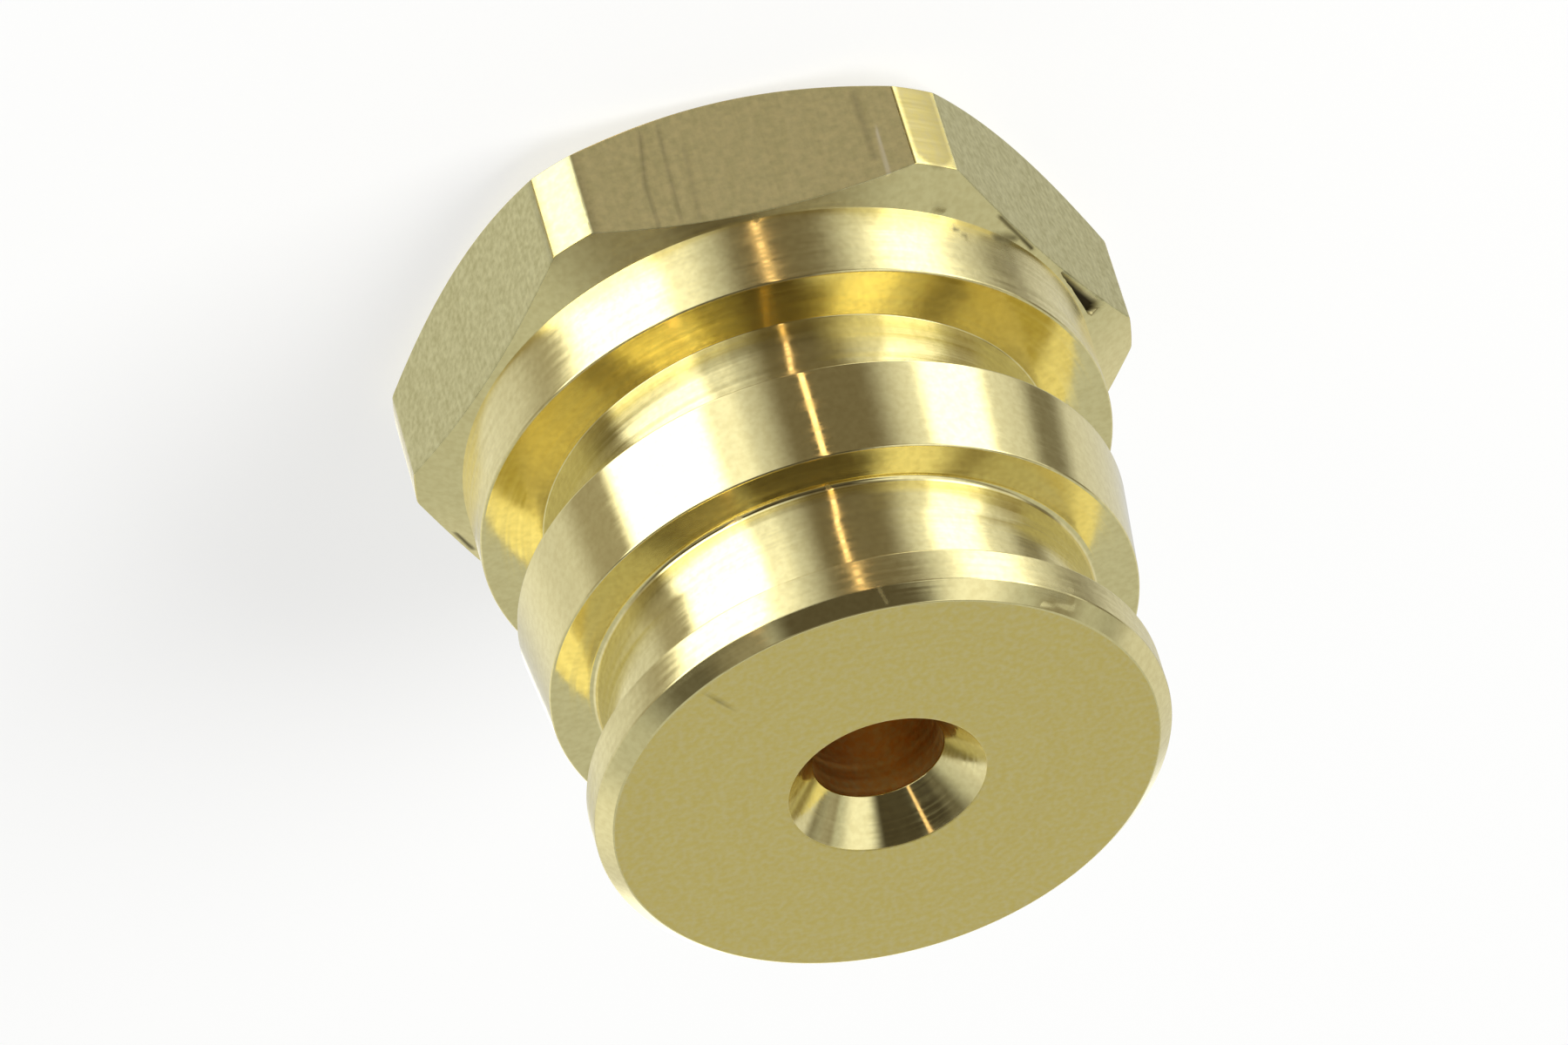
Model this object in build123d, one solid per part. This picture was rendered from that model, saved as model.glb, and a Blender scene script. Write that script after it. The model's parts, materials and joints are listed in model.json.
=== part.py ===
"""Turned brass plug: a hexagon head, a stepped shank with two grooves and a countersunk bore.

The plug is turned from drawn hexagon bar.  It stands on the outer face of its head, with +Z up the
axis towards the nose and the origin at the centre of that face.  Flats of the hexagon face +Y and -Y.
"""

from build123d import *
import math
import os

# ---- Driving dimensions, in millimetres and degrees -----------------------------------------------

# Hexagon head
across_flats = 19.0          # spanner size of the bar
corner_turn_down = 0.37      # how much is turned off each corner, on the radius
chamfer_angle = 35.0         # both chamfers of the head, measured from the end face
face_inset = 0.5             # edge of the outer face, inside the flats
head_length = 5.0            # outer face to the foot of the shoulder chamfer

# Collar, just below the flats
collar_inset = 0.2           # below the flats, on the radius
collar_length = 1.9

# Shank: a tapered land between two grooves, then the nose rim
land_diameter = 17.2         # at the land's small end, towards the nose
land_taper = 0.3             # how much the land grows towards the head, on the radius
land_length = 2.95
head_groove_width = 3.1      # groove between collar and land
head_groove_depth = 1.15     # below the small end of the land, on the radius
nose_groove_width = 3.7      # groove between land and rim
nose_groove_depth = 1.35     # below the small end of the land, on the radius
rim_step = 0.25              # rim below the small end of the land, on the radius
rim_length = 1.1
nose_chamfer = 0.45          # 45 degree lead-in at the nose

# Bore and its countersink in the nose
bore_diameter = 3.8
countersink_width = 0.98     # widening of the bore at the nose face, on the radius
countersink_angle = 80.0     # included
bore_exit_chamfer = 0.3      # 45 degrees, at the outer face of the head

# Corner radii left by the tools
head_groove_fillet = 0.15
nose_groove_fillet = 0.35
edge_break = 0.08            # 45 degrees, on the sharp outer edges

# ---- Sizes that follow ----------------------------------------------------------------------------

flat_radius = across_flats / 2
corner_radius = flat_radius / math.cos(math.radians(30)) - corner_turn_down
face_radius = flat_radius - face_inset
collar_radius = flat_radius - collar_inset
land_radius = land_diameter / 2
land_big_radius = land_radius + land_taper
head_groove_radius = land_radius - head_groove_depth
nose_groove_radius = land_radius - nose_groove_depth
rim_radius = land_radius - rim_step
bore_radius = bore_diameter / 2

chamfer_slope = math.tan(math.radians(chamfer_angle))
face_chamfer_top = (corner_radius - face_radius) * chamfer_slope
shoulder_bottom = head_length - (corner_radius - collar_radius) * chamfer_slope

collar_top = head_length + collar_length
land_bottom = collar_top + head_groove_width
land_top = land_bottom + land_length
rim_bottom = land_top + nose_groove_width
rim_top = rim_bottom + rim_length
overall_length = rim_top + nose_chamfer

countersink_depth = countersink_width / math.tan(math.radians(countersink_angle / 2))

# A tool radius takes at most half of the lower wall beside it, once that wall's edge is broken
head_groove_wall = min(collar_radius, land_big_radius) - head_groove_radius
nose_groove_wall = rim_radius - nose_groove_radius
head_groove_corner = min(head_groove_fillet, (head_groove_wall - edge_break) / 2)
nose_groove_corner = min(nose_groove_fillet, (nose_groove_wall - edge_break) / 2)


def turned(outline):
    """Revolve a closed outline of (radius, height) points about the axis."""
    section = make_face(Polyline(outline, close=True))
    return revolve(Plane.XZ * section, Axis.Z)


def corners_at(section, places):
    """Corners of a flat section that lie at the given (radius, height) places."""
    return [
        vertex
        for vertex in section.vertices()
        if any(math.hypot(vertex.X - x, vertex.Y - y) < 1e-6 for x, y in places)
    ]


def head():
    """Hexagon head: the bar, with its corners and both ends turned to one barrel."""
    bar = extrude(RegularPolygon(flat_radius, 6, major_radius=False), head_length)
    barrel = turned(
        [
            (0, 0),
            (face_radius, 0),
            (corner_radius, face_chamfer_top),
            (corner_radius, shoulder_bottom),
            (collar_radius, head_length),
            (0, head_length),
        ]
    )
    return bar & barrel


def shank():
    """Collar, grooves, land and nose rim, as one turned outline with its tool radii."""
    section = make_face(
        Polyline(
            [
                (0, head_length),
                (collar_radius, head_length),
                (collar_radius, collar_top),
                (head_groove_radius, collar_top),
                (head_groove_radius, land_bottom),
                (land_big_radius, land_bottom),
                (land_radius, land_top),
                (nose_groove_radius, land_top),
                (nose_groove_radius, rim_bottom),
                (rim_radius, rim_bottom),
                (rim_radius, rim_top),
                (rim_radius - nose_chamfer, overall_length),
                (0, overall_length),
            ],
            close=True,
        )
    )
    head_groove_feet = [(head_groove_radius, collar_top), (head_groove_radius, land_bottom)]
    nose_groove_feet = [(nose_groove_radius, land_top), (nose_groove_radius, rim_bottom)]
    outer_edges = [
        (collar_radius, collar_top),
        (land_big_radius, land_bottom),
        (land_radius, land_top),
        (rim_radius, rim_bottom),
    ]
    section = fillet(corners_at(section, head_groove_feet), head_groove_corner)
    section = fillet(corners_at(section, nose_groove_feet), nose_groove_corner)
    section = chamfer(corners_at(section, outer_edges), edge_break)
    return revolve(Plane.XZ * section, Axis.Z)


def bore():
    """Through bore, countersunk at the nose and lightly chamfered where it leaves the head."""
    return turned(
        [
            (0, 0),
            (bore_radius + bore_exit_chamfer, 0),
            (bore_radius, bore_exit_chamfer),
            (bore_radius, overall_length - countersink_depth),
            (bore_radius + countersink_width, overall_length),
            (0, overall_length),
        ]
    )


turned_plug = head() + shank() - bore()

os.makedirs("parts", exist_ok=True)
export_step(turned_plug, "parts/turned_plug.step")
print(f"overall length {overall_length:.2f} mm, across the corners {2 * corner_radius:.2f} mm")
print(f"bore wall {overall_length - countersink_depth - bore_exit_chamfer:.3f} mm long")
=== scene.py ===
import json
import math

import bpy
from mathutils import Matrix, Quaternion, Vector


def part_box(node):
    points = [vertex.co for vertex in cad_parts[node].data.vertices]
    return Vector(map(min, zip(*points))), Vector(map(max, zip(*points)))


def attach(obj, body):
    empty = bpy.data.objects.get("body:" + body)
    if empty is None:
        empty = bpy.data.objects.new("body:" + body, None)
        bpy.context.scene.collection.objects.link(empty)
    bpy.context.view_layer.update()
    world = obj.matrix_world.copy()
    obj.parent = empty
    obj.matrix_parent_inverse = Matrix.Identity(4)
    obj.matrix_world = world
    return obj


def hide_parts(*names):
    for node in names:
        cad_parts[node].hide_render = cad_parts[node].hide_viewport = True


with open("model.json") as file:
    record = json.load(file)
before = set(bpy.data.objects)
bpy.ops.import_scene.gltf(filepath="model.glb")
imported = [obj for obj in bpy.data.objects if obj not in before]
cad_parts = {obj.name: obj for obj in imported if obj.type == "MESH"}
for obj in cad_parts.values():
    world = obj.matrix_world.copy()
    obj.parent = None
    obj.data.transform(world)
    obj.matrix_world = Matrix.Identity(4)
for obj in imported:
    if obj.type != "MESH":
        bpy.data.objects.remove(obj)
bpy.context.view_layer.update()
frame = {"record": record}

MM = 0.001                                           # the scene is in metres

# ---- Sizes of the plug ---------------------------------------------------------------------------

mounts = {mount["name"]: mount for mount in frame["record"]["mounts"]}
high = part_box("turned_plug")[1]
LENGTH = high.z
FLAT = high.y                                        # axis to a flat of the hexagon
CORNER = high.x                                      # axis to a turned-down corner
BORE = mounts["bore"]["dims"]["r_mm"] * MM
COLLAR = mounts["collar"]["dims"]["r_mm"] * MM
RIM = mounts["nose_rim"]["dims"]["r_mm"] * MM

FACE = FLAT - 0.5 * MM                               # edge of the head's outer face
CHAMFER = math.radians(35)                           # slope of the chamfer on the outer face
SHOULDER = math.radians(25)                          # slope of the chamfer beside the collar
HEAD = 4.7 * MM                                      # foot of the collar
COLLAR_TOP = HEAD + 2.4 * MM
LAND_BOTTOM = COLLAR_TOP + 3.0 * MM
LAND_TOP = LAND_BOTTOM + 2.95 * MM
RIM_BOTTOM = LAND_TOP + 3.6 * MM
RIM_TOP = RIM_BOTTOM + 1.1 * MM
NOSE_CHAMFER = LENGTH - RIM_TOP
LAND = RIM + 0.25 * MM                               # small end of the tapered land
LAND_FOOT = LAND + 0.3 * MM                          # its big end
HEAD_GROOVE = LAND - 1.15 * MM
NOSE_GROOVE = LAND - 1.35 * MM
HEAD_FILLET = 0.04 * MM
NOSE_FILLET = 0.20 * MM
EDGE = 0.08 * MM                                     # break of the sharp outer edges
FINE_EDGE = 0.03 * MM                                # wear on the edges that aren't broken
SEAM = 0.01 * MM                                     # between the rings beside a hollow edge
SINK_WIDTH = 0.98 * MM
SINK_ANGLE = math.radians(40)                        # from the axis
SINK_DEPTH = SINK_WIDTH / math.tan(SINK_ANGLE)
SINK = BORE + SINK_WIDTH                             # mouth of the countersink
EXIT_CHAMFER = 0.3 * MM                              # where the bore leaves the head


def linear(hex_colour):
    """An sRGB hex colour as the linear colour that a shader socket takes."""
    parts = [int(hex_colour[i : i + 2], 16) / 255 for i in (1, 3, 5)]
    made = [c / 12.92 if c <= 0.04045 else ((c + 0.055) / 1.055) ** 2.4 for c in parts]
    return (*made, 1.0)


def add(tree, kind, links=None, **settings):
    """Add a node: settings go on it, and each entry of links is a socket's value or its source."""
    made = tree.nodes.new(kind)
    for name, value in settings.items():
        setattr(made, name, value)
    for socket, value in (links or {}).items():
        if isinstance(value, bpy.types.NodeSocket):
            tree.links.new(value, made.inputs[socket])
        else:
            made.inputs[socket].default_value = value
    return made


# ---- Camera --------------------------------------------------------------------------------------

CAMERA_AT = Vector((37.296, -290.763, 239.262)) * MM
CAMERA_AIM = Vector((0.659, 0.083, 8.133)) * MM
CAMERA_ROLL = math.radians(163.195)
LENS = 300                                           # in mm, as the sensor is
SENSOR = 36
NEAREST = 10 * MM

camera = bpy.data.objects.new("camera", bpy.data.cameras.new("camera"))
bpy.context.scene.collection.objects.link(camera)
look = (CAMERA_AIM - CAMERA_AT).to_track_quat("-Z", "Y")
camera.location = CAMERA_AT
camera.rotation_mode = "QUATERNION"
camera.rotation_quaternion = look @ Quaternion((0, 0, 1), CAMERA_ROLL)
camera.data.lens = LENS
camera.data.sensor_width = SENSOR
camera.data.clip_start = NEAREST
bpy.context.scene.camera = camera

# ---- Columns of points round the plug ------------------------------------------------------------

FLAT_STEPS = 76                                      # across a flat of the hexagon
MARKED_STEPS = 152                                   # across the flat with the draw lines
LAND_STEPS = 10                                      # across a turned-down corner
HALF_FLAT = math.acos(FLAT / CORNER)
CORNER_WEAR = 0.05 * MM / CORNER                     # half the worn strip beside a corner


def columns():
    """For each column: its angle, the angle that the head's side faces, and its distance out."""
    made = []
    for side in range(6):
        middle = math.radians(60 * side - 90)
        reach = HALF_FLAT - CORNER_WEAR
        steps = FLAT_STEPS if side else MARKED_STEPS
        for step in range(steps + 1):
            angle = middle + reach * (2 * step / steps - 1)
            made.append((angle, middle, FLAT / math.cos(angle - middle)))
        start = middle + HALF_FLAT + CORNER_WEAR
        turn = math.pi / 3 - 2 * HALF_FLAT - 2 * CORNER_WEAR
        for step in range(LAND_STEPS + 1):
            angle = start + turn * step / LAND_STEPS
            made.append((angle, angle, CORNER))
    return made


COLUMNS = columns()
COUNT = len(COLUMNS)
SIDE = [out for angle, faces, out in COLUMNS]        # how far out the head's side is
LOW_EDGE = [(r - FACE) * math.tan(CHAMFER) for r in SIDE]            # heights where it meets
HIGH_EDGE = [HEAD - (r - COLLAR) * math.tan(SHOULDER) for r in SIDE]  # its two chamfers

# ---- Rings of points along the plug --------------------------------------------------------------
# Each ring has the lean of the surface there: how far it faces above level, in degrees.  So 0 is a
# cylinder, 90 faces the way the nose does, -90 the other way, and 180 faces the axis.

rings = []
strips = []                                          # name of the strip from each ring to the next


def ring(strip, radius, height, lean):
    """Add a ring.  A radius or height is one value, or a list with one for each column."""
    radii = radius if isinstance(radius, list) else [radius] * COUNT
    heights = height if isinstance(height, list) else [height] * COUNT
    rings.append([(r, z, math.radians(lean)) for r, z in zip(radii, heights)])
    strips.append(strip)


def run(strip, start, end, lean, steps=1):
    """Add rings along a straight stretch, from one (radius, height) to another."""
    for step in range(steps + 1):
        t = step / steps
        radius = [a + (b - a) * t for a, b in zip(start[0], end[0])]
        height = [a + (b - a) * t for a, b in zip(start[1], end[1])]
        ring(strip, radius, height, lean)


def level(radius, height):
    """A (radius, height) that is the same for every column, as run() takes it."""
    return [radius] * COUNT, [height] * COUNT


def bend(strip, radius, height, size, first, last, steps=3, beyond=None):
    """Add rings round a bend about (radius, height), with the name of the strip beyond it.

    A size below 0 is a hollow corner.
    """
    for step in range(steps + 1):
        lean = first + (last - first) * step / steps
        turn = math.radians(lean)
        name = beyond if beyond and step == steps else strip
        ring(name, radius + size * math.cos(turn), height + size * math.sin(turn), lean)


FLARE = 12                                           # lean of a floor at its foot, in degrees
FLARE_FALL = 0.6                                     # how it dies away: below 1 is late
FLARE_REACH = math.tan(math.radians(39))             # how far it goes, as a share of the wall
FLARE_STEPS = 8


def groove(radius, fillet, foot, top, wall, foot_steps, top_steps):
    """Add a groove's two corners, and its floor, which flares towards the wall at its foot."""
    bend("fillet", radius + fillet, foot + fillet, -fillet, 90, 90 / foot_steps, foot_steps - 1)
    for step in range(FLARE_STEPS + 1):
        t = step / FLARE_STEPS
        height = foot + fillet + wall * FLARE_REACH * t
        ring("floor", radius, height, FLARE * (1 - t) ** FLARE_FALL)
    bend("fillet", radius + fillet, top - fillet, -fillet, 0, -90, top_steps, "wall")


# Head: outer face, its chamfer, the flats and corners, and the shoulder chamfer
run(
    "head_face",
    level(BORE + EXIT_CHAMFER + FINE_EDGE, 0),
    level(FACE - FINE_EDGE, 0),
    lean=-90,
    steps=6,
)
along = FINE_EDGE * math.cos(CHAMFER)
rise = FINE_EDGE * math.sin(CHAMFER)
run(
    "low_chamfer",
    level(FACE + along, rise),
    ([r - along for r in SIDE], [z - rise for z in LOW_EDGE]),
    lean=math.degrees(CHAMFER) - 90,
    steps=3,
)
MARKED = 1.2 * MM                                    # the nicks are this near the shoulder
side_foot = [z + FINE_EDGE for z in LOW_EDGE]
side_marked = [z - MARKED for z in HIGH_EDGE]
side_top = [z - FINE_EDGE for z in HIGH_EDGE]
run("side", (SIDE, side_foot), (SIDE, side_marked), lean=0, steps=6)
run("side", (SIDE, side_marked), (SIDE, side_top), lean=0, steps=12)
along = FINE_EDGE * math.cos(SHOULDER)
rise = FINE_EDGE * math.sin(SHOULDER)
run(
    "shoulder",
    ([r - along for r in SIDE], [z + rise for z in HIGH_EDGE]),
    level(COLLAR, HEAD),
    lean=90 - math.degrees(SHOULDER),
    steps=10,
)

# Shank, from the collar to the nose
TAPER = math.degrees(math.atan2(LAND_FOOT - LAND, LAND_TOP - LAND_BOTTOM))
run(
    "collar",
    level(COLLAR, HEAD + SEAM),
    level(COLLAR, COLLAR_TOP - EDGE),
    lean=0,
    steps=16,
)
bend("collar", COLLAR - EDGE, COLLAR_TOP - EDGE, EDGE, 0, 90, beyond="wall")
groove(
    HEAD_GROOVE,
    HEAD_FILLET,
    foot=COLLAR_TOP,
    top=LAND_BOTTOM,
    wall=COLLAR - HEAD_GROOVE,
    foot_steps=5,
    top_steps=3,
)
bend("land", LAND_FOOT - EDGE, LAND_BOTTOM + EDGE, EDGE, -90, TAPER)
bend("land", LAND - EDGE, LAND_TOP - EDGE, EDGE, TAPER, 90, beyond="wall")
groove(
    NOSE_GROOVE,
    NOSE_FILLET,
    foot=LAND_TOP,
    top=RIM_BOTTOM,
    wall=LAND - NOSE_GROOVE,
    foot_steps=8,
    top_steps=8,
)
bend("rim", RIM - EDGE, RIM_BOTTOM + EDGE, EDGE, -90, 0)
run(
    "rim",
    level(RIM, RIM_BOTTOM + 2 * EDGE),
    level(RIM, RIM_TOP - FINE_EDGE),
    lean=0,
    steps=6,
)
run(
    "nose_chamfer",
    level(RIM - FINE_EDGE, RIM_TOP + FINE_EDGE),
    level(RIM - NOSE_CHAMFER + FINE_EDGE, LENGTH - FINE_EDGE),
    lean=45,
    steps=5,
)
run(
    "nose_face",
    level(RIM - NOSE_CHAMFER - FINE_EDGE, LENGTH),
    level(SINK + FINE_EDGE, LENGTH),
    lean=90,
    steps=6,
)

# Countersink and bore, back down to the head's outer face
along = FINE_EDGE * math.sin(SINK_ANGLE)
rise = FINE_EDGE * math.cos(SINK_ANGLE)
bore_top = LENGTH - SINK_DEPTH
run(
    "sink",
    level(SINK - along, LENGTH - rise),
    level(BORE + along, bore_top + rise),
    lean=180 - math.degrees(SINK_ANGLE),
    steps=3,
)
run(
    "bore",
    level(BORE, bore_top - FINE_EDGE),
    level(BORE, EXIT_CHAMFER + FINE_EDGE),
    lean=180,
    steps=12,
)
run(
    "bore",
    level(BORE + FINE_EDGE, EXIT_CHAMFER - FINE_EDGE),
    level(BORE + EXIT_CHAMFER - FINE_EDGE, FINE_EDGE),
    lean=225,
)

# How far a tool has cut along the outline at each point, in mm: round the head from the edge of the
# bore, and from the foot of the collar on
cuts = [[0.0] * COUNT]
for last, made in zip(rings, rings[1:]):
    cuts.append([cut + math.dist(p[:2], q[:2]) / MM for cut, p, q in zip(cuts[-1], last, made)])
collar_foot = list(cuts[strips.index("collar")])
for i in range(strips.index("shoulder"), len(cuts)):
    cuts[i] = [cut - start for cut, start in zip(cuts[i], collar_foot)]

# ---- Marks of handling ---------------------------------------------------------------------------
# They are placed by azimuth, in degrees from the -Y side towards +X, then radius and height in mm.


def place(azimuth, radius, height):
    """A point on the plug."""
    turn = math.radians(azimuth)
    return Vector((radius * math.sin(turn), -radius * math.cos(turn), height)) * MM


def mark(point, start, end, first, last):
    """How deep a point lies in a mark: 1 on its line, and 0 at its edge.

    The mark's half width goes from first to last, in mm.
    """
    line = end - start
    share = min(max((point - start).dot(line) / line.length_squared, 0), 1)
    gap = (point - start - line * share).length
    return max(0.0, 1 - gap / ((first + (last - first) * share) * MM))


NICK_TIP = place(-65.2, 9.47, 4.62)
NICK_MIDDLE = place(-72.5, 9.55, 4.58)
NICK_END = place(-77.9, 9.70, 4.50)
NICK_DEPTH = 0.20 * MM
NICK_DROP = 0.5                                      # how far it goes down for its way inwards
NICK_STEEPNESS = 2                                   # it is at its full depth halfway to its line


def nick(point):
    """The wedge knocked out of the edge between a flat and the shoulder."""
    return max(
        mark(point, NICK_TIP, NICK_MIDDLE, 0.06, 0.16),
        mark(point, NICK_MIDDLE, NICK_END, 0.16, 0.30),
    )


def stain(point):
    """Darkening, 0 for clean brass and 1 for black: dirt, painted shade and a painted shadow.  Each
    mark has its own darkness.
    """
    return max(
        # darkened to black in the nick, a dark line along the burr beside it, and the burr's
        # painted shadow on the collar
        min(1.0, 1.8 * nick(point)),
        0.9 * mark(point, place(-45.2, 9.74, 4.49), place(-55.4, 9.41, 4.65), 0.10, 0.10),
        0.7 * mark(point, place(-45.9, 9.3, 4.91), place(-50.6, 9.41, 4.64), 0.26, 0.20),
        0.14 * mark(point, place(-47.6, 9.3, 5.1), place(-47.5, 9.3, 5.8), 0.40, 0.50),
        # specks on the shoulder and the collar
        0.6 * mark(point, place(-32.4, 9.47, 4.61), place(-33.9, 9.44, 4.63), 0.13, 0.13),
        0.8 * mark(point, place(-36.0, 9.3, 5.11), place(-36.4, 9.3, 5.16), 0.14, 0.12),
        0.8 * mark(point, place(-37.8, 9.3, 5.32), place(-38.1, 9.3, 5.36), 0.14, 0.12),
        # a dark streak on the shoulder, a speck on the nose, and a smudge on its chamfer
        0.9 * mark(point, place(101.3, 9.82, 4.45), place(106.0, 9.60, 4.56), 0.10, 0.14),
        0.9 * mark(point, place(39.6, 7.14, 18.2), place(39.9, 7.10, 18.2), 0.10, 0.10),
        0.4 * mark(point, place(-35.0, 8.30, 17.8), place(-41.0, 8.25, 17.84), 0.22, 0.30),
        # draw lines on one flat: a bent one and three straight ones
        0.35 * mark(point, place(15.3, 9.85, 0.9), place(16.8, 9.92, 2.8), 0.09, 0.11),
        0.35 * mark(point, place(16.8, 9.92, 2.8), place(16.6, 9.91, 4.4), 0.11, 0.08),
        0.30 * mark(point, place(12.3, 9.72, 1.0), place(12.9, 9.75, 4.3), 0.10, 0.09),
        0.20 * mark(point, place(9.0, 9.62, 1.6), place(9.8, 9.64, 4.4), 0.12, 0.12),
        0.30 * mark(point, place(-20.6, 10.15, 1.2), place(-20.8, 10.16, 3.6), 0.20, 0.15),
        # painted shade darkening one corner all over, to dim its reflection; and dull edges on
        # another
        min(0.46, 2.4 * mark(point, place(-30, 10.6, 1.4), place(-30, 10.6, 3.5), 0.68, 0.68)),
        0.30 * mark(point, place(26.2, 10.6, 1.0), place(26.2, 10.6, 4.1), 0.28, 0.28),
        0.30 * mark(point, place(33.8, 10.6, 1.0), place(33.8, 10.6, 4.1), 0.28, 0.28),
    )


def rub(point):
    """Bright scratches, where the skin of the metal is broken up."""
    return max(
        # beside a corner, and on the collar
        mark(point, place(-22.3, 10.27, 2.6), place(-22.1, 10.25, 4.25), 0.07, 0.09),
        mark(point, place(0.6, 9.32, 4.70), place(0.7, 9.3, 4.76), 0.13, 0.11),
        # two ticks at the foot of the nose groove
        mark(point, place(22.1, 7.30, 13.06), place(21.6, 7.28, 13.1), 0.12, 0.12),
        mark(point, place(1.0, 7.30, 13.06), place(0.8, 7.28, 13.1), 0.12, 0.12),
        # a hook and a tick on the nose chamfer
        mark(point, place(-36.6, 8.02, 18.08), place(-44.6, 8.12, 17.98), 0.07, 0.07),
        0.8 * mark(point, place(-44.6, 8.12, 17.98), place(-43.0, 8.35, 17.5), 0.06, 0.08),
        0.8 * mark(point, place(-2.0, 8.3, 17.8), place(-3.0, 8.0, 18.1), 0.09, 0.09),
    )


points = []
normals = []
stains = []
rubs = []
for strip, made in zip(strips, rings):
    for (angle, faces, _), (radius, height, lean) in zip(COLUMNS, made):
        way = faces if strip == "side" else angle
        point = Vector((radius * math.cos(angle), radius * math.sin(angle), height))
        out = math.cos(lean)
        normal = Vector((out * math.cos(way), out * math.sin(way), math.sin(lean)))
        # each point's darkening: dirt, and painted shade and shadow
        stains.append(stain(point) if point.z > 0 else 0.0)
        rubs.append(rub(point) if point.z > 0 else 0.0)
        depth = nick(point)
        if depth:
            inwards = Vector((math.cos(angle), math.sin(angle), NICK_DROP)) * NICK_DEPTH
            point -= inwards * min(1.0, NICK_STEEPNESS * depth)
            normal = Vector((0, 0, 0))               # worked out from the faces
        points.append(point)
        normals.append(normal)

# ---- Finishes ------------------------------------------------------------------------------------

BRASS = "#f7eaaa"                                    # free-cutting brass, newly cut
RUBBED = "#e9da9a"                                   # where chips and fingers have dulled it
DIRT = "#4b4026"                                     # oil, dust and dark oxide; also the colour of painted shade and shadow
FACED = "#e6d27a"                                    # brass under the satin of a facing cut
DRILLED = "#ecc272"                                  # the bore's brass, more orange: painted shade down the bore
KNOCKED = "#efdd8a"                                  # brass under an interrupted cut
SKIN = "#ebe4ae"                                     # the bar's own skin: drawn, then pickled
SKIN_SHADE = "#d2ca92"                               # the same between its lines
SCRATCH = "#fffbe0"                                  # newly broken skin
GRAIN = 0.2 * MM                                     # metal grain is finer: drawn coarse to show
CHATTER = 1.6 * MM                                   # length of the waves that the tool left
CHATTER_DEPTH = 0.0022                               # in mm, as all the bump heights are
TOOL_LINE = 14 * MM                                  # a tool line keeps its depth for this far
DRAW_GAP = 0.13 * MM                                 # between the lines that the die drew
DRAW_RUN = 5 * MM                                    # length of such a line
DRAW_SHARE = 0.35                                    # of the lines, against all of the grain
DRAW_LEAST = 0.45                                    # the least and most of the two together
DRAW_MOST = 0.95
DRAW_DEPTH = 0.0015
DRAW_SMOOTH = 0.46                                   # roughness, least and most
DRAW_ROUGH = 0.54
FAINT = 0.35                                         # a noise's usual least and most
STRONG = 0.65
PATCHY = 0.7                                         # the grain at which the dulling is at its most
DULLING = 0.7                                        # how much of the rubbed colour it gives
BREAKING = 0.5                                       # roughness that a stain or scratch adds


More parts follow.
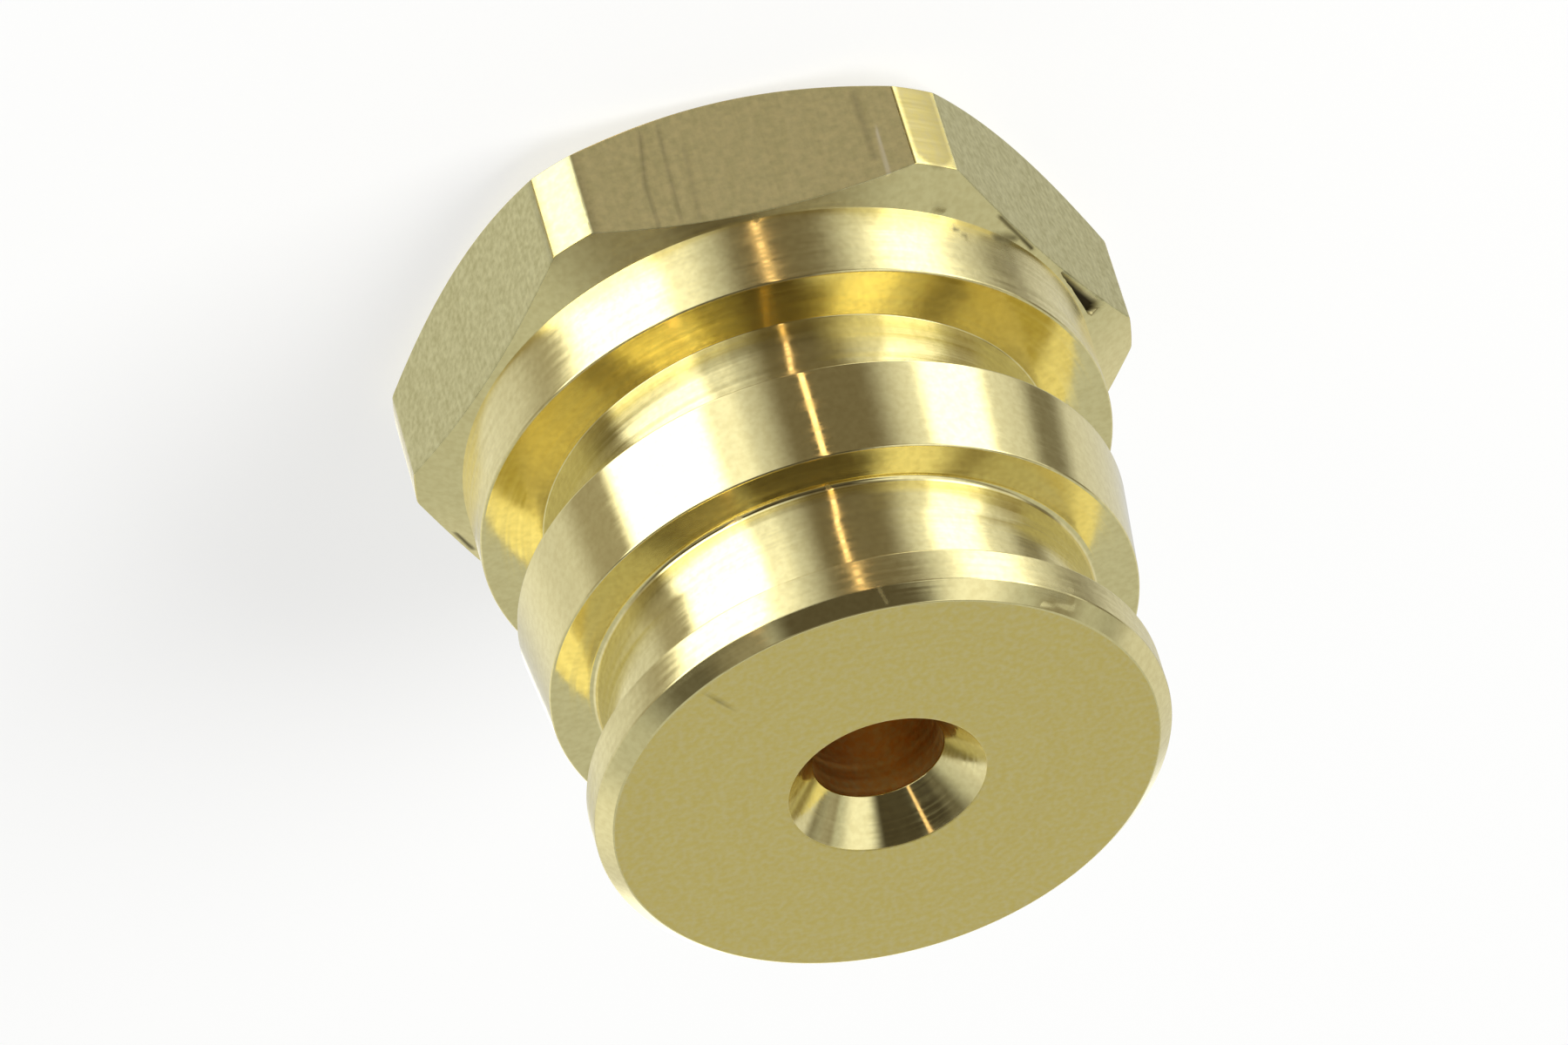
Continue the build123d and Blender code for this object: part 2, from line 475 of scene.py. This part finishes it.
def cut_brass(name, colour, feed, smooth, rough, stretch, ridge):
    """Brass cut by a tool, with a feed and a height of its ridges in mm.

    Its roughness goes from smooth to rough between tool lines, and stretch is how far the lines
    draw a highlight out.
    """
    material = bpy.data.materials.new(name)
    material.use_nodes = True
    tree = material.node_tree
    tree.nodes.clear()
    spot = add(tree, "ShaderNodeTexCoord").outputs["Object"]
    cut = add(tree, "ShaderNodeAttribute", attribute_name="cut").outputs["Fac"]
    stained = add(tree, "ShaderNodeAttribute", attribute_name="stain").outputs["Fac"]
    rubbed = add(tree, "ShaderNodeAttribute", attribute_name="rub").outputs["Fac"]
    passes = add(tree, "ShaderNodeMath", {0: cut, 1: 1 / feed}, operation="MULTIPLY").outputs[0]
    across = add(tree, "ShaderNodeCombineXYZ", {2: passes}).outputs[0]
    scale = (1 / TOOL_LINE, 1 / TOOL_LINE, 0)
    along = add(tree, "ShaderNodeVectorMath", {0: spot, 1: scale}, operation="MULTIPLY").outputs[0]
    spiral = add(tree, "ShaderNodeVectorMath", {0: across, 1: along}, operation="ADD").outputs[0]
    noise = {"Vector": spiral, "Scale": 1, "Detail": 2}
    lines = add(tree, "ShaderNodeTexNoise", noise).outputs["Fac"]
    noise = {"Vector": spot, "Scale": 1 / GRAIN, "Detail": 1}
    grain = add(tree, "ShaderNodeTexNoise", noise).outputs["Fac"]
    noise = {"Vector": spot, "Scale": 1 / CHATTER, "Detail": 0}
    waves = add(tree, "ShaderNodeTexNoise", noise).outputs["Fac"]

    span = {0: grain, 1: FAINT, 2: PATCHY, 3: 0.0, 4: DULLING}
    mottle = add(tree, "ShaderNodeMapRange", span).outputs[0]
    colours = {0: mottle, 6: linear(colour), 7: linear(RUBBED)}
    skin = add(tree, "ShaderNodeMix", colours, data_type="RGBA").outputs[2]
    # the marks darken the brass: dirt, and painted shade and shadow
    colours = {0: stained, 6: skin, 7: linear(DIRT)}
    soiled = add(tree, "ShaderNodeMix", colours, data_type="RGBA").outputs[2]

    span = {0: lines, 1: FAINT, 2: STRONG, 3: smooth, 4: rough}
    gloss = add(tree, "ShaderNodeMapRange", span).outputs[0]
    broken = add(tree, "ShaderNodeMath", {0: stained, 1: rubbed}, operation="MAXIMUM").outputs[0]
    sum_of = {0: broken, 1: BREAKING, 2: gloss}
    roughness = add(tree, "ShaderNodeMath", sum_of, operation="MULTIPLY_ADD").outputs[0]

    ridges = add(tree, "ShaderNodeMath", {0: lines, 1: ridge}, operation="MULTIPLY").outputs[0]
    sum_of = {0: waves, 1: CHATTER_DEPTH, 2: ridges}
    skin_height = add(tree, "ShaderNodeMath", sum_of, operation="MULTIPLY_ADD").outputs[0]
    bump = add(tree, "ShaderNodeBump", {"Distance": MM, "Height": skin_height}).outputs[0]
    tangent = add(tree, "ShaderNodeTangent", direction_type="RADIAL", axis="Z").outputs[0]
    shader = add(
        tree,
        "ShaderNodeBsdfPrincipled",
        {
            "Base Color": soiled,
            "Metallic": 1.0,
            "Roughness": roughness,
            "Normal": bump,
            "Anisotropic": stretch,
            "Anisotropic Rotation": 0.25,
            "Tangent": tangent,
        },
    )
    add(tree, "ShaderNodeOutputMaterial", {"Surface": shader.outputs[0]})
    return material


def drawn_brass():
    """The flats of the bar, as its die left them.

    The die draws fine lines along the bar, and leaves a matt, speckled skin.
    """
    material = bpy.data.materials.new("drawn_brass")
    material.use_nodes = True
    tree = material.node_tree
    tree.nodes.clear()
    spot = add(tree, "ShaderNodeTexCoord").outputs["Object"]
    stained = add(tree, "ShaderNodeAttribute", attribute_name="stain").outputs["Fac"]
    rubbed = add(tree, "ShaderNodeAttribute", attribute_name="rub").outputs["Fac"]
    scale = (1 / DRAW_GAP, 1 / DRAW_GAP, 1 / DRAW_RUN)
    along = add(tree, "ShaderNodeVectorMath", {0: spot, 1: scale}, operation="MULTIPLY").outputs[0]
    noise = {"Vector": along, "Scale": 1, "Detail": 2}
    lines = add(tree, "ShaderNodeTexNoise", noise).outputs["Fac"]
    noise = {"Vector": spot, "Scale": 1 / GRAIN, "Detail": 2}
    grain = add(tree, "ShaderNodeTexNoise", noise).outputs["Fac"]
    sum_of = {0: lines, 1: DRAW_SHARE, 2: grain}
    both = add(tree, "ShaderNodeMath", sum_of, operation="MULTIPLY_ADD").outputs[0]

    span = {0: both, 1: DRAW_LEAST, 2: DRAW_MOST, 3: 0.0, 4: 1.0}
    mottle = add(tree, "ShaderNodeMapRange", span).outputs[0]
    colours = {0: mottle, 6: linear(SKIN), 7: linear(SKIN_SHADE)}
    skin = add(tree, "ShaderNodeMix", colours, data_type="RGBA").outputs[2]
    # the marks darken the skin: dirt, and painted shade and shadow
    colours = {0: stained, 6: skin, 7: linear(DIRT)}
    soiled = add(tree, "ShaderNodeMix", colours, data_type="RGBA").outputs[2]
    colours = {0: rubbed, 6: soiled, 7: linear(SCRATCH)}
    scratched = add(tree, "ShaderNodeMix", colours, data_type="RGBA").outputs[2]

    span = {0: grain, 1: FAINT, 2: STRONG, 3: DRAW_SMOOTH, 4: DRAW_ROUGH}
    roughness = add(tree, "ShaderNodeMapRange", span).outputs[0]
    depth = add(tree, "ShaderNodeMath", {0: both, 1: DRAW_DEPTH}, operation="MULTIPLY").outputs[0]
    bump = add(tree, "ShaderNodeBump", {"Distance": MM, "Height": depth}).outputs[0]
    tangent = add(tree, "ShaderNodeTangent", direction_type="RADIAL", axis="Z").outputs[0]
    shader = add(
        tree,
        "ShaderNodeBsdfPrincipled",
        {
            "Base Color": scratched,
            "Metallic": 1.0,
            "Roughness": roughness,
            "Normal": bump,
            "Anisotropic": 0.5,
            "Anisotropic Rotation": 0.25,
            "Tangent": tangent,
        },
    )
    add(tree, "ShaderNodeOutputMaterial", {"Surface": shader.outputs[0]})
    return material


# Turned at a plain feed: bright, with fine rings that spread each reflection along the plug
turned = cut_brass(
    "turned_brass",
    BRASS,
    feed=0.12,
    smooth=0.10,
    rough=0.18,
    stretch=0.95,
    ridge=0.0010,
)

# Drawn through a die: greyer and matt, so a flat shows no picture of the room
drawn = drawn_brass()

# Faced, then washed among its chips: an even deep yellow satin
faced = cut_brass(
    "faced_brass",
    FACED,
    feed=0.14,
    smooth=0.38,
    rough=0.46,
    stretch=0.0,
    ridge=0.0010,
)

# Drilled, with coarse scores round it: light bounces down it and comes out a dark orange, deepened
# by shade painted into its colour
drilled = cut_brass(
    "drilled_brass",
    DRILLED,
    feed=0.35,
    smooth=0.35,
    rough=0.55,
    stretch=0.5,
    ridge=0.0030,
)

# Turned with a finishing cut: almost a mirror, with hard edges to its reflections
fine_turned = cut_brass(
    "fine_turned_brass",
    BRASS,
    feed=0.12,
    smooth=0.06,
    rough=0.14,
    stretch=0.95,
    ridge=0.0006,
)

# Turned, then handled: the proudest bands, whose brushed reflections are soft
worn_turned = cut_brass(
    "worn_turned_brass",
    BRASS,
    feed=0.12,
    smooth=0.16,
    rough=0.27,
    stretch=0.95,
    ridge=0.0008,
)

# Turned where the hexagon's corners strike the tool: a stronger yellow, less drawn out
corner_turned = cut_brass(
    "corner_turned_brass",
    KNOCKED,
    feed=0.12,
    smooth=0.14,
    rough=0.24,
    stretch=0.8,
    ridge=0.0010,
)

# Cut by the side of a grooving tool as it goes in: a mirror with wider rings
plunge_cut = cut_brass(
    "plunge_cut_brass",
    BRASS,
    feed=0.15,
    smooth=0.06,
    rough=0.14,
    stretch=0.95,
    ridge=0.0006,
)

FINISHES = [
    turned,
    drawn,
    faced,
    drilled,
    fine_turned,
    worn_turned,
    corner_turned,
    plunge_cut,
]
FINISH_OF = {
    "head_face": faced,
    "low_chamfer": turned,
    "side": drawn,
    "shoulder": fine_turned,
    "collar": worn_turned,
    "wall": plunge_cut,
    "fillet": plunge_cut,
    "floor": turned,
    "land": fine_turned,
    "rim": worn_turned,
    "nose_chamfer": fine_turned,
    "nose_face": faced,
    "sink": fine_turned,
    "bore": drilled,
}

# ---- The plug ------------------------------------------------------------------------------------

quads = []
slots = []
for i, strip in enumerate(strips):
    j = (i + 1) % len(strips)
    for k in range(COUNT):
        m = (k + 1) % COUNT
        quads.append((i * COUNT + k, i * COUNT + m, j * COUNT + m, j * COUNT + k))
        on_corner = strip == "side" and SIDE[k] == CORNER
        slots.append(FINISHES.index(corner_turned if on_corner else FINISH_OF[strip]))

mesh = bpy.data.meshes.new("plug")
mesh.from_pydata(points, [], quads)
mesh.polygons.foreach_set("material_index", slots)
mesh.polygons.foreach_set("use_smooth", [True] * len(quads))
cut_values = [cut for row in cuts for cut in row]
for name, values in (("cut", cut_values), ("stain", stains), ("rub", rubs)):
    mesh.attributes.new(name, "FLOAT", "POINT").data.foreach_set("value", values)
mesh.update()
mesh.normals_split_custom_set_from_vertices(normals)
for finish in FINISHES:
    mesh.materials.append(finish)
plug = bpy.data.objects.new("plug", mesh)
bpy.context.scene.collection.objects.link(plug)

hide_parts("turned_plug")
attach(plug, "root")

# ---- Studio --------------------------------------------------------------------------------------
# Softboxes and dark flags stand all round the plug.  Azimuth is in degrees from the -Y side towards
# +X, and height in degrees above level.

NEUTRAL = (0.98, 1.0, 1.03)
WARM = (1.04, 0.97, 0.82)                            # light that has come off brown walls
DUSK = (1.12, 0.97, 0.74)                            # the unlit room
AMBER = (1.15, 0.80, 0.50)                           # a gap with a warm lamp behind it
OVERHEAD = (100, 110)                                # past straight up: no upper side
UNDERFOOT = (-110, -100)                             # past straight down: no lower side
BEHIND = (200, 210)                                  # past straight away: it meets itself there

world = bpy.data.worlds.new("studio")
bpy.context.scene.world = world
world.use_nodes = True
studio = world.node_tree
studio.nodes.clear()
direction = add(studio, "ShaderNodeTexCoord").outputs["Generated"]
axes = add(studio, "ShaderNodeSeparateXYZ", {0: direction}).outputs
towards = add(studio, "ShaderNodeMath", {0: axes["Y"], 1: -1.0}, operation="MULTIPLY").outputs[0]
turn = add(studio, "ShaderNodeMath", {0: axes["X"], 1: towards}, operation="ARCTAN2").outputs[0]
climb = add(studio, "ShaderNodeMath", {0: axes["Z"]}, operation="ARCSINE").outputs[0]
azimuth = add(studio, "ShaderNodeMath", {0: turn}, operation="DEGREES").outputs[0]
height = add(studio, "ShaderNodeMath", {0: climb}, operation="DEGREES").outputs[0]
away = add(studio, "ShaderNodeMath", {0: azimuth}, operation="ABSOLUTE").outputs[0]


def hang(behind, along, start, full, fade, end, brightness, tint=NEUTRAL):
    """Hang a panel in front of what is behind it, between its two soft sides.

    Its brightness is a number, which the tint colours, or the socket of another set of panels.
    """
    side = {0: along, 1: start, 2: full}
    shown = add(studio, "ShaderNodeMapRange", side, interpolation_type="SMOOTHSTEP").outputs[0]
    side = {0: along, 1: fade, 2: end}
    hidden = add(studio, "ShaderNodeMapRange", side, interpolation_type="SMOOTHSTEP").outputs[0]
    part = add(studio, "ShaderNodeMath", {0: shown, 1: hidden}, operation="SUBTRACT").outputs[0]
    if not isinstance(brightness, bpy.types.NodeSocket):
        brightness = [brightness * share for share in tint] + [1]
    colours = {0: part, 6: behind, 7: brightness}
    return add(studio, "ShaderNodeMix", colours, data_type="RGBA").outputs[2]


# Below level, which the plug's cylinders show: pale walls, two dim gaps and the dark in front
lower = (0.69, 0.70, 0.72, 1)
lower = hang(lower, azimuth, 110, 132, 138, 160, 0.86)
lower = hang(lower, azimuth, 62, 70, 88, 103, 0.36, WARM)
lower = hang(lower, azimuth, -114, -102, -95, -84, 0.20, WARM)
lower = hang(lower, azimuth, -50, -22, 2, 17, 0.16, DUSK)
# two softboxes, each a glow with a bright middle
lower = hang(lower, azimuth, -88, -66, -47, -25, 0.90)
lower = hang(lower, azimuth, 15, 23, 66, 75, 1.15)
lower = hang(lower, azimuth, -74, -66, -50, -42, 2.3)
lower = hang(lower, azimuth, 28, 36, 68, 77, 2.8)
# the slit with the warm lamp, and the bright wall at the back
lower = hang(lower, azimuth, -6.5, -5.5, -4.7, -3.5, 2.3, AMBER)
lower = hang(lower, away, 169, 176, *BEHIND, 1.45)

# Above level, which the grooves, chamfers and countersink show: walls with two dim gaps
walls = (0.53, 0.55, 0.55, 1)
walls = hang(walls, azimuth, -97, -88, -82, -74, 0.27, WARM)
walls = hang(walls, azimuth, 60, 66, 80, 104, 0.13, WARM)
# the dark in front, with one softbox and the warm slit
upper = hang(walls, azimuth, -42, -22, 62, 78, 0.05, DUSK)
upper = hang(upper, azimuth, -74, -54, -36, -14, 1.05)
upper = hang(upper, azimuth, 36, 38.5, 40.5, 43, 1.3, AMBER)
# higher still: the dark is narrower, with a dim panel and the softbox beside it
ceiling = hang(walls, azimuth, -48, -28, 28, 44, 0.09, DUSK)
ceiling = hang(ceiling, azimuth, 36, 44, 62, 90, 0.28, WARM)
ceiling = hang(ceiling, azimuth, -86, -62, -52, -34, 1.05)
upper = hang(upper, height, 41, 48, *OVERHEAD, ceiling)

# All heights together, with a bright band low at the back, dim towards the top and grey below
whole = hang(lower, height, 12, 27, *OVERHEAD, upper)
horizon = hang(whole, away, 150, 168, *BEHIND, 1.5)
whole = hang(whole, height, -34, -26, -14, -2, horizon)
whole = hang(whole, height, 62, 78, *OVERHEAD, 0.24, WARM)
whole = hang(whole, height, 80, 88, *OVERHEAD, 0.10, DUSK)
whole = hang(whole, height, *UNDERFOOT, -86, -64, 0.60)

WHITE = (1, 1, 1, 1)
camera_ray = add(studio, "ShaderNodeLightPath").outputs["Is Camera Ray"]
colours = {0: camera_ray, 6: whole, 7: WHITE}
seen = add(studio, "ShaderNodeMix", colours, data_type="RGBA").outputs[2]
sky = add(studio, "ShaderNodeBackground", {"Color": seen, "Strength": 1.0}).outputs[0]
add(studio, "ShaderNodeOutputWorld", {"Surface": sky})

# The sheet of paper that the plug stands on
PAPER = "#f4f4f2"
PAPER_REACH = 3.0
PAPER_DROP = 0.02 * MM
PAPER_GLOW = 0.7                                     # white to the camera; the rest is shaded


def white_paper():
    """Matt white paper: no gloss, and it fades into the white around it."""
    material = bpy.data.materials.new("white_paper")
    material.use_nodes = True
    tree = material.node_tree
    tree.nodes.clear()
    matt = add(tree, "ShaderNodeBsdfDiffuse", {"Color": linear(PAPER)}).outputs[0]
    glow = add(tree, "ShaderNodeEmission", {"Color": WHITE, "Strength": 1.0}).outputs[0]
    camera_ray = add(tree, "ShaderNodeLightPath").outputs["Is Camera Ray"]
    product = {0: camera_ray, 1: PAPER_GLOW}
    share = add(tree, "ShaderNodeMath", product, operation="MULTIPLY").outputs[0]
    mixed = add(tree, "ShaderNodeMixShader", {0: share, 1: matt, 2: glow}).outputs[0]
    add(tree, "ShaderNodeOutputMaterial", {"Surface": mixed})
    return material


floor_mesh = bpy.data.meshes.new("floor")
corners = [(x * PAPER_REACH, y * PAPER_REACH) for x, y in ((-1, -1), (1, -1), (1, 1), (-1, 1))]
floor_mesh.from_pydata([(x, y, -PAPER_DROP) for x, y in corners], [], [(0, 1, 2, 3)])
floor_mesh.materials.append(white_paper())
floor = bpy.data.objects.new("floor", floor_mesh)
bpy.context.scene.collection.objects.link(floor)
floor.visible_glossy = False

# The lamp that gives the plug its shadow
KEY_AT = Vector((-0.5, -0.25, 0.6))
KEY_SIZE = 0.5
KEY_POWER = 6

key = bpy.data.objects.new("key", bpy.data.lights.new("key", "AREA"))
bpy.context.scene.collection.objects.link(key)
key.data.shape = "SQUARE"
key.data.size = KEY_SIZE
key.data.energy = KEY_POWER
key.location = KEY_AT
key.rotation_euler = (-KEY_AT).to_track_quat("-Z", "Y").to_euler()
key.visible_glossy = False

bpy.context.scene.view_settings.view_transform = "Standard"
bpy.context.scene.cycles.glossy_bounces = 8          # for the light that goes down the bore
